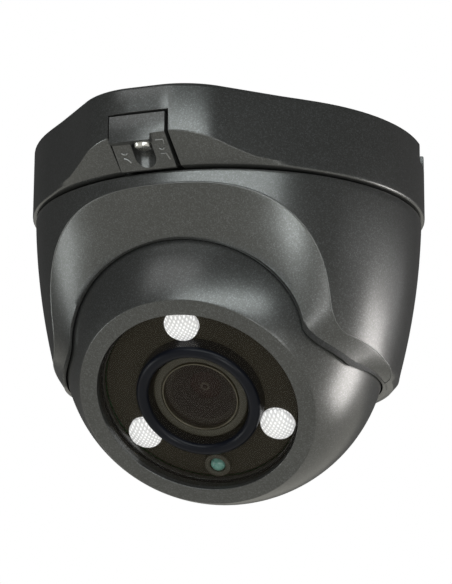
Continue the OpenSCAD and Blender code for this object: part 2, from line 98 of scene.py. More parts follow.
def round_path(points, steps=5, closed=True):
    """Rounds the corners of a path of (a, b, radius) points."""
    n = len(points)
    out = []
    for k, (a, b, radius) in enumerate(points):
        here = Vector((a, b))
        if radius <= 0 or (not closed and k in (0, n - 1)):
            out.append(here)
            continue
        before = Vector(points[k - 1][:2]) - here
        after = Vector(points[(k + 1) % n][:2]) - here
        angle = before.angle(after, math.pi)
        cut = radius / math.tan(max(angle, 0.05) / 2)
        cut = min(cut, before.length * 0.48, after.length * 0.48)
        p = here + before.normalized() * cut
        q = here + after.normalized() * cut
        out += [quadratic(p, here, q, s / steps) for s in range(steps + 1)]
    return out


def arc(radius, start, end, steps, centre=(0, 0)):
    """Points of an arc, with angles in degrees from the first axis."""
    angles = [math.radians(start + (end - start) * k / steps) for k in range(steps + 1)]
    return [(centre[0] + radius * math.cos(t), centre[1] + radius * math.sin(t), 0) for t in angles]


def grid(rows, around=True, closed=True):
    """A bmesh from rows of points; around joins the last row to the first."""
    bm = bmesh.new()
    made = [[bm.verts.new(p) for p in row] for row in rows]
    n_rows, n_cols = len(made), len(made[0])
    for i in range(n_rows if around else n_rows - 1):
        for j in range(n_cols if closed else n_cols - 1):
            upper, lower = made[i], made[(i + 1) % n_rows]
            k = (j + 1) % n_cols
            bm.faces.new((upper[j], upper[k], lower[k], lower[j]))
    bmesh.ops.remove_doubles(bm, verts=bm.verts, dist=1e-4)
    bmesh.ops.dissolve_degenerate(bm, dist=1e-5, edges=bm.edges)
    bmesh.ops.recalc_face_normals(bm, faces=bm.faces)
    return bm


def lathe(points, segments=144, steps=5):
    """A closed profile of (radius, z, corner radius) turned round the Z axis."""
    path = round_path(points, steps)
    rows = []
    for k in range(segments):
        a = 2 * math.pi * k / segments
        rows.append([Vector((p.x * math.sin(a), p.x * math.cos(a), p.y)) for p in path])
    return grid(rows)


def prism(outline, z0, z1):
    """A closed solid from a 2D outline."""
    n = len(outline)
    verts = [(x, y, z) for z in (z0, z1) for x, y in outline]
    faces = [tuple(range(n - 1, -1, -1)), tuple(range(n, 2 * n))]
    faces += [(k, (k + 1) % n, n + (k + 1) % n, n + k) for k in range(n)]
    return from_lists(verts, faces)


def box(x0, x1, y0, y1, z0, z1):
    return prism([(x0, y0), (x1, y0), (x1, y1), (x0, y1)], z0, z1)


def circle(radius, centre=(0, 0), segments=48):
    return [(centre[0] + radius * math.cos(2 * math.pi * k / segments),
             centre[1] + radius * math.sin(2 * math.pi * k / segments)) for k in range(segments)]


def quadratic(start, pull, end, t):
    """Point on a quadratic curve that is pulled towards a corner."""
    return start * (1 - t) ** 2 + pull * 2 * t * (1 - t) + end * t * t


def flat(points):
    """The points of an arc without their corner radius."""
    return [(a, b) for a, b, _ in points]


def merged(*parts):
    """Several separate solids in one bmesh."""
    whole = bmesh.new()
    for part in parts:
        mesh = bpy.data.meshes.new("part")
        part.to_mesh(mesh)
        part.free()
        whole.from_mesh(mesh)
        bpy.data.meshes.remove(mesh)
    return whole


def moved(bm, matrix):
    bmesh.ops.transform(bm, matrix=matrix, verts=bm.verts)
    return bm


def boolean(bm, other, operation="DIFFERENCE"):
    """Cuts or joins two bmeshes and returns the result."""
    objs = []
    for part in (bm, other):
        mesh = bpy.data.meshes.new("part")
        part.to_mesh(mesh)
        part.free()
        obj = bpy.data.objects.new("part", mesh)
        bpy.context.scene.collection.objects.link(obj)
        objs.append(obj)
    modifier = objs[0].modifiers.new("cut", "BOOLEAN")
    modifier.object = objs[1]
    modifier.operation = operation
    modifier.solver = "EXACT"
    graph = bpy.context.evaluated_depsgraph_get()
    result = bmesh.new()
    result.from_mesh(objs[0].evaluated_get(graph).to_mesh())
    objs[0].evaluated_get(graph).to_mesh_clear()
    for obj in objs:
        mesh = obj.data
        bpy.data.objects.remove(obj)
        bpy.data.meshes.remove(mesh)
    bmesh.ops.remove_doubles(result, verts=result.verts, dist=1e-4)
    return result


def bevel_where(bm, test, width, segments=3, angle=30):
    """Rounds the sharp edges whose middle passes a test."""
    limit = math.radians(angle)
    edges = [e for e in bm.edges
             if e.calc_face_angle(0.0) > limit and test((e.verts[0].co + e.verts[1].co) / 2)]
    bmesh.ops.bevel(bm, geom=edges, offset=width, offset_type="OFFSET", segments=segments,
                    profile=0.5, affect="EDGES", clamp_overlap=True)
    return bm


def tube(points, radius, sides=8):
    """A thin closed tube along a path of points."""
    aside = Vector((0.31, 0.52, 0.8))
    rows = []
    n = len(points)
    for k, p in enumerate(points):
        ahead = (points[min(k + 1, n - 1)] - points[max(k - 1, 0)]).normalized()
        side = ahead.cross(aside).normalized()
        up = side.cross(ahead)
        ring = []
        for s in range(sides):
            a = 2 * math.pi * s / sides
            ring.append(p + radius * (side * math.cos(a) + up * math.sin(a)))
        rows.append(ring)
    bm = grid(rows, around=False)
    bmesh.ops.holes_fill(bm, edges=[e for e in bm.edges if e.is_boundary])
    return bm


# ---- Materials ----

def grey(value):
    return (value, value, value)


def fill_ramp(node, stops):
    """Gives a colour ramp its stops of (place, colour)."""
    while len(node.color_ramp.elements) < len(stops):
        node.color_ramp.elements.new(0.5)
    for element, (place, color) in zip(node.color_ramp.elements, stops):
        element.position = place
        element.color = (*color, 1)


class Nodes:
    """A small wrapper that makes one Principled material."""

    def __init__(self, name, color, metallic=0.0, roughness=0.5, **sockets):
        self.material = bpy.data.materials.new(name)
        self.material.use_nodes = True
        self.tree = self.material.node_tree
        self.shader = self.tree.nodes["Principled BSDF"]
        self.set("Base Color", (*color, 1))
        self.set("Metallic", metallic)
        self.set("Roughness", roughness)
        for key, value in sockets.items():
            self.set(key.replace("_", " "), value)
        self.coords = self.add("ShaderNodeTexCoord").outputs["Object"]

    def set(self, key, value):
        self.shader.inputs[key].default_value = value

    def add(self, kind, **inputs):
        node = self.tree.nodes.new(kind)
        for key, value in inputs.items():
            node.inputs[key.replace("_", " ")].default_value = value
        return node

    def link(self, a, b):
        self.tree.links.new(a, b)

    def noise(self, size, detail):
        """Noise whose features are about size millimetres across."""
        node = self.add("ShaderNodeTexNoise", Scale=PER_METRE / size, Detail=detail, Roughness=0.5)
        self.link(self.coords, node.inputs["Vector"])
        return node.outputs["Fac"]

    def cells(self, size):
        """Cells about size millimetres across, each with its own random colour."""
        node = self.add("ShaderNodeTexVoronoi", Scale=PER_METRE / size)
        self.link(self.coords, node.inputs["Vector"])
        return node.outputs["Color"]

    def crossed_lines(self, size):
        """Two sets of diagonal waves, multiplied: 0 on the lines between facets and 1 on the facets."""
        waves_per_unit = 0.159
        parts = []
        for direction in (1, -1):
            turn = self.add("ShaderNodeMapping")
            turn.inputs["Rotation"].default_value = (0, 0, math.radians(45 * direction))
            self.link(self.coords, turn.inputs["Vector"])
            wave = self.add("ShaderNodeTexWave", Scale=PER_METRE * waves_per_unit / size, Distortion=0.3)
            self.link(turn.outputs["Vector"], wave.inputs["Vector"])
            parts.append(wave.outputs["Color"])
        return self.multiply(*parts)

    def ramp(self, source, *stops):
        """Colour stops of (place, colour)."""
        node = self.add("ShaderNodeValToRGB")
        fill_ramp(node, stops)
        self.link(source, node.inputs["Fac"])
        return node.outputs["Color"]

    def multiply(self, a, b):
        node = self.add("ShaderNodeMix")
        node.data_type = "RGBA"
        node.blend_type = "MULTIPLY"
        node.inputs["Factor"].default_value = 1.0
        self.link(a, node.inputs["A"])
        self.link(b, node.inputs["B"])
        return node.outputs["Result"]

    def spread(self, source, low, high):
        """A value between low and high from a 0 to 1 source."""
        node = self.add("ShaderNodeMapRange")
        node.inputs["To Min"].default_value = low
        node.inputs["To Max"].default_value = high
        self.link(source, node.inputs["Value"])
        return node.outputs["Result"]

    def bump(self, source, depth):
        """Bump with a depth in millimetres."""
        node = self.add("ShaderNodeBump", Strength=1.0, Distance=depth * MM)
        self.link(source, node.inputs["Height"])
        self.link(node.outputs["Normal"], self.shader.inputs["Normal"])

    def color_from(self, source):
        self.link(source, self.shader.inputs["Base Color"])

    def roughness_from(self, source):
        self.link(source, self.shader.inputs["Roughness"])


def paint():
    """Satin gunmetal paint with a fine metallic fleck."""
    n = Nodes("gunmetal_paint", (0.11, 0.112, 0.11), metallic=0.7, roughness=0.3,
              Coat_Weight=0.2, Coat_Roughness=0.22)
    fleck = n.ramp(n.cells(0.30), (0.0, (0.074, 0.075, 0.072)), (0.6, (0.094, 0.096, 0.094)),
                   (1.0, (0.150, 0.155, 0.158)))
    cloud = n.ramp(n.noise(22, 3), (0.3, grey(0.90)), (0.7, grey(1.0)))
    n.color_from(n.multiply(fleck, cloud))
    n.roughness_from(n.spread(n.noise(0.6, 3), 0.27, 0.34))
    n.bump(n.noise(0.5, 2), 0.003)
    return n.material


def plastic(name, color, roughness=0.5, grain=0.35, depth=0.01, vary=0.75, **sockets):
    """Moulded plastic with a fine grain; vary is how dark its duller patches are."""
    n = Nodes(name, color, roughness=roughness, **sockets)
    dark = tuple(c * vary for c in color)
    n.color_from(n.ramp(n.noise(6, 4), (0.3, dark), (0.7, color)))
    n.roughness_from(n.spread(n.noise(1.2, 2), roughness - 0.06, roughness + 0.08))
    n.bump(n.noise(grain, 3), depth)
    return n.material


def metal(name, color, roughness=0.3, streak=(0.15, 3.0), depth=0.004):
    """Metal with fine drawn marks; streak is their width and length in millimetres."""
    n = Nodes(name, color, metallic=1.0, roughness=roughness)
    width, length = streak
    stretch = n.add("ShaderNodeMapping")
    stretch.inputs["Scale"].default_value = (PER_METRE / width, PER_METRE / length, PER_METRE / width)
    n.link(n.coords, stretch.inputs["Vector"])
    marks = n.add("ShaderNodeTexNoise", Scale=1.0, Detail=3.0)
    n.link(stretch.outputs["Vector"], marks.inputs["Vector"])
    fac = marks.outputs["Fac"]
    n.color_from(n.ramp(fac, (0.25, tuple(c * 0.8 for c in color)), (0.75, color)))
    n.roughness_from(n.spread(fac, roughness - 0.08, roughness + 0.12))
    n.bump(fac, depth)
    return n.material


def glass(name, color, alpha, roughness=0.03, ior=1.5, coat=0.6):
    """Thin tinted glass, seen through by its alpha, with a faint haze."""
    n = Nodes(name, color, roughness=roughness, Alpha=alpha, IOR=ior,
              Coat_Weight=coat, Coat_Roughness=0.02)
    n.color_from(n.ramp(n.noise(9, 3), (0.3, tuple(c * 0.85 for c in color)), (0.7, color)))
    n.roughness_from(n.spread(n.noise(5, 3), roughness * 0.6, roughness * 1.6))
    return n.material


def board():
    """Green solder mask with tracks and pads."""
    n = Nodes("circuit_board", (0.01, 0.10, 0.04), roughness=0.35)
    brick = n.add("ShaderNodeTexBrick", Scale=PER_METRE / 3.2, Mortar_Size=0.06)
    brick.inputs["Color1"].default_value = (0.008, 0.085, 0.035, 1)
    brick.inputs["Color2"].default_value = (0.010, 0.110, 0.045, 1)
    brick.inputs["Mortar"].default_value = (0.03, 0.20, 0.08, 1)
    n.link(n.coords, brick.inputs["Vector"])
    pads = n.ramp(n.cells(1.7), (0.82, grey(1.0)), (0.9, (3.0, 1.8, 2.0)))
    n.color_from(n.multiply(brick.outputs["Color"], pads))
    n.bump(brick.outputs["Fac"], 0.03)
    return n.material


PAINT = paint()
RUBBER = plastic("black_rubber", (0.005, 0.006, 0.010), 0.30, 0.5, 0.004, 0.8,
                 Specular_IOR_Level=0.16)
WORN = metal("worn_paint", (0.34, 0.35, 0.35), 0.4)
# Lighter paint for the bead along the brow's edge: a painted highlight.
EDGE_HIGHLIGHT = metal("painted_edge_highlight", (0.20, 0.205, 0.205), 0.34)
BLACK = plastic("black_plastic", (0.018, 0.016, 0.013), 0.55)
INSIDE = plastic("bezel_plastic", (0.034, 0.029, 0.019), 0.85, 0.35, 0.001)
BARREL = plastic("lens_barrel", (0.085, 0.080, 0.062), 0.5, 0.25, 0.006, 0.85)
NYLON = plastic("white_nylon", (0.72, 0.70, 0.64), 0.45)
CHIP = plastic("chip_package", (0.03, 0.03, 0.034), 0.4, 0.2, 0.004)
PHOSPHOR = plastic("lamp_chip", (0.75, 0.62, 0.20), 0.4, 0.3, 0.01)
STEEL = metal("bright_screw", (0.72, 0.72, 0.70), 0.22)
ZINC = metal("zinc_sheet", (0.56, 0.57, 0.58), 0.38, (0.3, 6.0))
CAST = metal("black_casting", (0.06, 0.06, 0.065), 0.5, (0.8, 1.0), 0.02)
BRASS = metal("brass_post", (0.72, 0.56, 0.25), 0.3)
TINT = glass("tinted_window", (0.030, 0.024, 0.014), 0.16, 0.04, 1.22, 0.0)
COATED = glass("coated_glass", (0.030, 0.020, 0.024), 0.30, 0.05, 1.35, 0.0)
RED_COAT = plastic("red_coated_glass", (0.050, 0.018, 0.014), 0.12, 2.0, 0.0005)
BARREL_DARK = plastic("lens_baffle", (0.030, 0.027, 0.019), 0.5, 0.3, 0.003)
LIP = metal("lens_lip", (0.30, 0.28, 0.22), 0.3)
FILTER = glass("filter_glass", (0.20, 0.05, 0.08), 0.5)
BOARD = board()


def dress(obj, material):
    """Gives an object its one material."""
    obj.data.materials.clear()
    obj.data.materials.append(material)
    return obj


# ---- Cover ----

COVER_TOP = -23.6
COVER_TOP_R = 63.9
RIM_Z = -79.3
RIM_ROUND = 4.2
# The wall follows a parabola with its vertex at this height, and BOW sets how fast it draws in.
BOW_START = -16
BOW = 444
# The wall inside the cover, from its top edge in and down to the ball's cavity, as (radius, z).
COVER_INSIDE = [(58.4, COVER_TOP), (57.2, COVER_TOP + 0.3), (57.2, -20), (59.8, -19.9), (59.8, -18.5),
                (57.2, -18.4), (57.2, -14.3), (56.9, -14), (53.8, -14), (53.5, -14.3), (53.5, -27.2),
                (52.5, -27.2), (52.5, -38.2)]
CAVITY_TOP_EL = 28.7
BROW_RELAX = (2, 36, 48)


def bell_r(z):
    """Outer radius of the cover at height z, with its rounded lower rim."""
    def bow(h):
        return COVER_TOP_R - max(0.0, (h - BOW_START) ** 2 - (COVER_TOP - BOW_START) ** 2) / BOW
    start = RIM_Z + RIM_ROUND
    if z >= start:
        return bow(z)
    drop = min((start - z) / RIM_ROUND, 1.0)
    return bow(start) - RIM_ROUND * (1 - math.sqrt(1 - drop * drop))


def on_bell(az, z):
    """Point on the outside of the cover; az is 0 at the front."""
    z = max(z, RIM_Z)
    r = bell_r(z)
    return Vector((r * math.sin(az), -r * math.cos(az), z))


def on_cavity(az, el):
    """Point on the ball's cavity, by angles about the ball's centre."""
    el = max(el, -math.asin((BALL.z - RIM_Z) / CAVITY_R))
    level = math.cos(el)
    return BALL + CAVITY_R * Vector((math.sin(az) * level, -math.cos(az) * level, math.sin(el)))


def brow_paths():
    """Outer edge (azimuth, z) and inner edge (azimuth, elevation) of the brow, crown to back."""
    outer, inner = [], []
    # round the brow, from its crown to its corner
    for k in range(41):
        t = math.radians(k * 2.25)
        c = abs(math.cos(t)) ** (2 / 3)
        s = abs(math.sin(t)) ** (2 / 3)
        z = -69 + 41.2 * c
        outer.append((s * (53.2 + 0.225 * (-43 - z)) / 1.1, z))
        inner.append((47.5 * math.sin(0.9 * t), -15.4 + 39.2 * math.cos(0.9 * t)))
    # from the corner down to the rim at the side
    for k in range(1, 31):
        w = k / 30
        outer.append((57 + 48 * w, -70.8 - 4 * w - 8 * w * w))
        inner.append((50 + 52 * w, -11.2 - 15 * w))
    # along the rim to the back
    for k in range(1, 26):
        w = k / 25
        outer.append((105 + 75 * w, -90))
        inner.append((102 + 78 * w, -40))
    return outer, inner


def relax(path, rounds, first, last):
    """Smooths a stretch of a path."""
    for _ in range(rounds):
        old = list(path)
        for k in range(max(first, 1), min(last, len(path) - 1)):
            path[k] = tuple((old[k - 1][i] + 2 * old[k][i] + old[k + 1][i]) / 4 for i in (0, 1))
    return path


def cover_columns():
    """One closed loop of points for each direction round the cover, on the +X side."""
    outer, inner = brow_paths()
    outer = relax(outer, *BROW_RELAX)
    inner = relax(inner, *BROW_RELAX)
    edge = [on_bell(math.radians(a), z) for a, z in outer]
    seat = [on_cavity(math.radians(a), math.radians(e)) for a, e in inner]
    n = len(edge)
    columns = []
    for k in range(n):
        az = math.radians(outer[k][0])
        along = edge[min(k + 1, n - 1)] - edge[max(k - 1, 0)]
        if k == 0:
            along = Vector((1, 0, 0))
        normal = Vector((math.sin(az), -math.cos(az), 0.2)).normalized()
        away = along.cross(normal)
        away = away.normalized() if away.length > 1e-6 else Vector((0, 0, 1))
        if away.z < 0 and abs(away.z) > 0.2:
            away.negate()
        columns.append(column(edge[k], seat[k], away))
    return columns


def column(edge, seat, away):
    """From the brow's inner lip out over its edge, up the bell and back inside."""
    lip = 0.45
    lip_depth = 1.2
    inward = seat - edge
    fillet = min(0.5, inward.length * 0.3)
    inward.normalize()
    band_start = seat - inward * lip
    band_end = edge + inward * fillet
    under = seat - (BALL - seat).normalized() * lip_depth
    top = edge + away * fillet
    az = math.atan2(top.x, -top.y)
    top_z = max(top.z, RIM_Z)
    top = on_bell(az, top_z)
    pts = [quadratic(under, seat, band_start, s / 3) for s in range(4)]
    pts += [band_start.lerp(band_end, s / 6) for s in range(1, 7)]
    pts += [quadratic(band_end, edge, top, s / 5) for s in range(1, 6)]
    pts += [on_bell(az, top_z + (COVER_TOP - 0.7 - top_z) * (s / 24)) for s in range(1, 25)]
    top_r = bell_r(COVER_TOP)
    inside = [(top_r - 0.12, COVER_TOP - 0.25), (top_r - 0.5, COVER_TOP)] + COVER_INSIDE
    pts += [Vector((r * math.sin(az), -r * math.cos(az), z)) for r, z in inside]
    low = math.degrees(math.asin(max(-1, min(1, (under.z - BALL.z) / CAVITY_R))))
    drop = min(low, 26) - CAVITY_TOP_EL
    ball_az = math.atan2(seat.x, -(seat.y - BALL.y))
    pts += [on_cavity(ball_az, math.radians(CAVITY_TOP_EL + drop * (s / 8))) for s in range(8)]
    return pts


def make_cover():
    half = cover_columns()
    other = [[Vector((-p.x, p.y, p.z)) for p in col] for col in half[-2:0:-1]]
    bm = grid(half + other)
    obj = dress(finish_mesh("cover_skin", bm, "cover", 34), PAINT)
    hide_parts("cover_shell")
    return obj


def make_brow_edge():
    """A thin bead of lighter paint, a painted highlight that stands for the bright line along the brow's
    edge.
    """
    sink, lift, radius, reach = 0.10, 0.06, 0.24, 72
    path = relax(brow_paths()[0], *BROW_RELAX)[:reach]
    right = [on_bell(math.radians(a), z) for a, z in path]
    draw_in = 1 - sink / 64
    right = [Vector((p.x * draw_in, p.y * draw_in, p.z + lift)) for p in right]
    left = [Vector((-p.x, p.y, p.z)) for p in reversed(right[1:])]
    bm = tube(left + right, radius)
    return dress(finish_mesh("brow_edge", bm, "cover", 60), EDGE_HIGHLIGHT)


# ---- Base ----

LOBE = (5, -53.2)
LOBE_R = 24
BASE_R = 65
# Beyond this radius, on the lobe, the foot of the base is chamfered.
RING_R = 66.0
MOUNT_R = 44
SCREW_HOLE_R = 2.4
FLANK = math.atan2(LOBE[0], -LOBE[1]) + math.acos((BASE_R - LOBE_R) / math.hypot(*LOBE))


def rim_point(centre, r, a):
    """Point on a circle; a is 0 at the front."""
    return (centre[0] + r * math.sin(a), centre[1] - r * math.cos(a))


def base_outline():
    """Half of the base's outline, on the +X side, from the front to the back."""
    pts = [(x, LOBE[1] - LOBE_R) for x in (0.9, 2.6, 4.1)]
    pts += [rim_point(LOBE, LOBE_R, FLANK * k / 14) for k in range(15)]
    start = Vector(pts[-1])
    end = Vector(rim_point((0, 0), BASE_R, FLANK))
    pts += [tuple(start.lerp(end, k / 16)) for k in range(1, 16)]
    pts += [rim_point((0, 0), BASE_R, FLANK + (math.pi - FLANK) * k / 45) for k in range(45)]
    return pts


def base_section(outer_r):
    """Profile of the base where its outline is outer_r from the axis."""
    foot, bend_low, bend_high, slope = -23, -21.4, -15.4, 1.513
    low_r = min(outer_r, RING_R)
    bend = foot + (outer_r - RING_R) / slope if outer_r > RING_R else bend_low
    bend = min(max(bend, bend_low), bend_high)
    outside = [(outer_r, 0, 1.3), (outer_r, bend, 0.9), (low_r, foot, 0.9)]
    inside = [(61, foot, 0.5), (61, -17.6, 0.2), (57.5, -17.6, 0.3), (57.5, -14.6, 0.3),
              (61, -14.6, 0.2), (61, -3, 0.8), (9, -3, 0.3)]
    ceiling_face = [(9, -1.1, 0.1), (11, -1.1, 0.1), (11, 0, 0.3), (36, 0, 0), (62.3, 0, 0.1),
                    (62.3, -1, 0.1), (63.4, -1, 0.1), (63.4, 0, 0.1)]
    return round_path(outside + inside + ceiling_face, 4)


def lobe_pocket():
    """The two hollows in the top of the lobe, one each side of the latch."""
    wall = 3.6
    half_gap = 14.5
    inner_r = 64.6
    flank_r = BASE_R - wall
    r = LOBE_R - wall
    first = math.asin((half_gap - LOBE[0]) / r)
    outline = [rim_point(LOBE, r, first + (FLANK - first) * k / 6) for k in range(7)]
    normal = Vector((math.sin(FLANK), -math.cos(FLANK)))
    along = Vector((math.cos(FLANK), math.sin(FLANK)))
    reach = math.sqrt(inner_r ** 2 - flank_r ** 2)
    tip = normal * flank_r - along * reach
    outline.append(tuple(tip))
    inner = math.asin(half_gap / inner_r)
    tip_az = math.atan2(tip.x, -tip.y)
    outline += [rim_point((0, 0), inner_r, tip_az + (inner - tip_az) * k / 8) for k in range(1, 9)]
    return [prism([(side * x, y) for x, y in outline], -12, 1) for side in (1, -1)]


def side_notch():
    """Cutter for the cable notch in the side of the base."""
    azimuth, start_y, cut = 100, -66.6, 8.2
    corner = flat(arc(2, 0, 90, 6, (5, 4.4)))
    outline = [(-7, -1), (7, -1)] + corner + [(-x, y) for x, y in reversed(corner)]
    bm = prism(outline, 0, cut)
    turn = Matrix.Rotation(math.radians(azimuth), 4, "Z") @ Matrix.Translation((0, start_y, 0))
    return moved(bm, turn @ Matrix.Rotation(math.radians(-90), 4, "X"))


def make_base():
    half = base_outline()
    outline = half + [(0, BASE_R)] + [(-x, y) for x, y in reversed(half)]
    rows = []
    for x, y in outline:
        r = math.hypot(x, y)
        rows.append([Vector((x / r * p.x, y / r * p.x, p.y)) for p in base_section(r)])
    bm = grid(rows)
    left, right, roof = -12.1, 8.1, -8.3
    holes = [prism(circle(SCREW_HOLE_R, rim_point((0, 0), MOUNT_R, math.radians(az))), -4, 1)
             for az in (60, 180, 300)]
    latch_pocket = box(left, right, -82, -60.2, -25, roof)
    bm = boolean(bm, merged(*holes, *lobe_pocket(), side_notch(), latch_pocket))

    def pocket_rim(p):
        """Whether a point is on the outer edges of the latch's pocket."""
        inside = left - 0.2 < p.x < right + 0.2 and p.z < roof + 0.2
        side = min(abs(p.x - left), abs(p.x - right)) < 0.02 or abs(p.z - roof) < 0.02
        return inside and side and p.y < -66
    bevel_where(bm, pocket_rim, 0.45, 3, 35)
    obj = dress(finish_mesh("base_skin", bm, "base", 32), PAINT)
    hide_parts("base_housing")
    return obj


# ---- Latch ----

SCREW = Vector((-2.1, -71.6, 0))
SLOPE_TOP = (-73.84, -17.4)
SLOPE_RUN = 8.04
SLOPE_DROP = 6.0


def latch_section(hood):
    """Side outline of the latch as (y, z), with its face at height hood."""
    return [(-62, -8.9), (-76.6, -8.9), (-76.6, hood), (-75.7 - (hood + 16) * 1.33, hood), (-65.8, -23.4),
            (-64.7, -23.4), (-64.7, -21.9), (-62, -21.9)]


def latch_block(hood, x0, x1):
    """One width of the latch, from x0 to x1."""
    bm = prism(latch_section(hood), x0, x1)
    # the section's axes become Y and Z, and its depth becomes X
    turn = Matrix(((0, 0, 1, 0), (1, 0, 0, 0), (0, 1, 0, 0), (0, 0, 0, 1)))
    return moved(bm, turn)


def slope_point(x, down, lift=0.02):
    """Point just clear of the latch's sloping face, down the slope from its top."""
    top = Vector((x, *SLOPE_TOP))
    fall = Vector((0, SLOPE_RUN, -SLOPE_DROP)).normalized()
    out = Vector((0, -SLOPE_DROP, -SLOPE_RUN)).normalized()
    return top + fall * down + out * lift


def make_latch():
    step_x, slot_r = 1.9, 3.4
    bm = boolean(latch_block(-17.4, -11.5, step_x), latch_block(-15.35, step_x, 6.7), "UNION")
    bmesh.ops.dissolve_limit(bm, angle_limit=0.01, verts=bm.verts, edges=bm.edges)
    back = (SCREW.x, SCREW.y + 1.9)
    slot = [(back[0] - slot_r, -79), (back[0] + slot_r, -79)] + flat(arc(slot_r, 0, 180, 18, back))
    bm = boolean(bm, prism(slot, -25, -17.41))
    bm = boolean(bm, prism(circle(slot_r, (SCREW.x, SCREW.y)), -18, -16.4))
    bevel_where(bm, lambda p: p.y < -64 and p.z < -8, 0.28, 3, 30)
    obj = dress(finish_mesh("latch_skin", bm, "latch", 32), PAINT)
    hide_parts("lock_latch")
    return obj


def make_latch_marks():
    """Plain raised strokes that stand for the latch's open and closed marks."""
    def curve(x, down, r, start, end):
        angles = [math.radians(start + (end - start) * k / 8) for k in range(9)]
        return [slope_point(x + r * math.cos(a), down - r * math.sin(a)) for a in angles]

    def line(*points):
        return [slope_point(x, down) for x, down in points]
    strokes = [curve(-8.3, 2.6, 1.1, 200, 340),
               line((-9.1, 5.0), (-7.9, 5.7), (-7.3, 6.9)),
               line((3.0, -0.6), (5.4, -0.6), (5.4, 1.0)),
               curve(4.2, 2.2, 0.9, 190, 350),
               line((3.4, 4.6), (5.0, 4.6), (5.6, 7.0))]
    bm = merged(*[tube(points, 0.22) for points in strokes])
    return dress(finish_mesh("latch_marks", bm, "latch"), WORN)


def make_lock_screw():
    shape = [(0, -5.2, 0), (1.3, -5.2, 0.2), (1.5, -5.6, 0.1), (1.5, -16.45, 0.1), (2.9, -16.45, 0.2),
             (3.0, -17.3, 0.3), (2.6, -18.3, 0.6), (1.6, -18.68, 0.4), (0, -18.7, 0)]
    bm = lathe(shape, 64)
    socket = prism(circle(1.5, (0, 0), 6), -19, -17.0)
    bm = boolean(bm, socket)
    bm = moved(bm, Matrix.Translation(SCREW))
    obj = dress(finish_mesh("lock_screw_head", bm, "screw", 30), STEEL)
    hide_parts("lock_screw")
    return obj


# ---- Ball ----

INNER_R = 49.8
SEAM_Z = -5.9
SEAT_R = 31.8
SEAT_BACK = 30.6


def in_ball(name, bm, material, sharp=40):
    """A piece of the ball, made in the ball's own frame and set in place."""
    return dress(finish_mesh(name, bm, "eyeball", sharp, IN_BALL), material)


def make_ball_front():
    edge = math.degrees(math.acos(FACE_R / BALL_R))
    seam = math.degrees(math.asin(SEAM_Z / BALL_R))
    pts = [(INNER_R, -6, 0.1), (52.3, -6, 0.1)]
    pts += arc(BALL_R, seam + 0.25, edge - 1.0, 34)
    pts += [(FACE_R, FACE_Z, 0.55), (WINDOW_R, FACE_Z, 0.35), (WINDOW_R, 32.4, 0.1), (SEAT_R, 32.4, 0.1),
            (SEAT_R, SEAT_BACK, 0.1)]
    inner = math.degrees(math.asin(SEAT_BACK / INNER_R))
    pts += arc(INNER_R, inner, math.degrees(math.asin(SEAM_Z / INNER_R)), 16)
    obj = in_ball("ball_front_skin", lathe(pts, 192, 4), PAINT, 30)
    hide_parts("front_housing")
    return obj


def make_windows():
    """The tinted ring over the lamps and the tinted disc over the lens."""
    edge, inner_r, outer_r, disc_r = 0.25, 20.4, 32.7, 16.2
    ring = lathe([(inner_r, WINDOW_BACK, edge), (outer_r, WINDOW_BACK, edge), (outer_r, WINDOW_FRONT, edge),
                  (inner_r, WINDOW_FRONT, edge)], 144, 3)
    obj = in_ball("lamp_window_glass", ring, TINT)
    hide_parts("lamp_window")
    disc = lathe([(0, WINDOW_BACK, 0), (disc_r, WINDOW_BACK, edge), (disc_r, WINDOW_FRONT, edge),
                  (0, WINDOW_FRONT, 0)], 96, 3)
    obj = in_ball("lens_window_glass", disc, TINT)
    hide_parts("lens_window")


def make_light_shield():
    """The rubber ring between the two windows, with a round front."""
    pts = [(20.3, ON_BOARD, 0.2)]
    pts += arc(2.0, 0, 180, 18, (18.3, 34.4))
    pts += [(16.3, ON_BOARD, 0.2)]
    obj = in_ball("light_shield_ring", lathe(pts, 160), RUBBER)
    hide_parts("light_shield")


def make_inner_bezel():
    """The dark tray round the lamps, with a hole for each."""
    inner_r, outer_r, skirt_r, back, front = 20.45, 31.5, 30.2, 29, 30.3
    pts = [(inner_r, back, 0.3), (skirt_r, back, 0.3), (skirt_r, ON_BOARD, 0.2), (outer_r, ON_BOARD, 0.2),
           (outer_r, front, 0.4), (inner_r, front, 0.3)]
    cutters = [prism(circle(LAMP_R + 0.25, lamp_xy(k)), 20, 32) for k in range(LAMPS)]
    cutters.append(prism(circle(4.4, SENSOR_XY), 20, 32))
    bm = boolean(lathe(pts, 144, 3), merged(*cutters))
    obj = in_ball("lamp_tray", bm, INSIDE)
    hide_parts("inner_bezel")


LAMPS = 3
LAMP_R = 5.5
LAMP_RING_R = 25.9
LAMP_SIDES = 96
DOME_R = 13.5
DOME_CENTRE_Z = 19.2
FACET = 0.62
FACET_DEPTH = 0.15
SENSOR_XY = (-1.2, -26.9)
SENSOR_R = 2.6


def lamp_xy(k):
    """Centre of a lamp; the first is at the top of the window."""
    a = math.radians(-120 * k)
    return (-LAMP_RING_R * math.sin(a), LAMP_RING_R * math.cos(a))


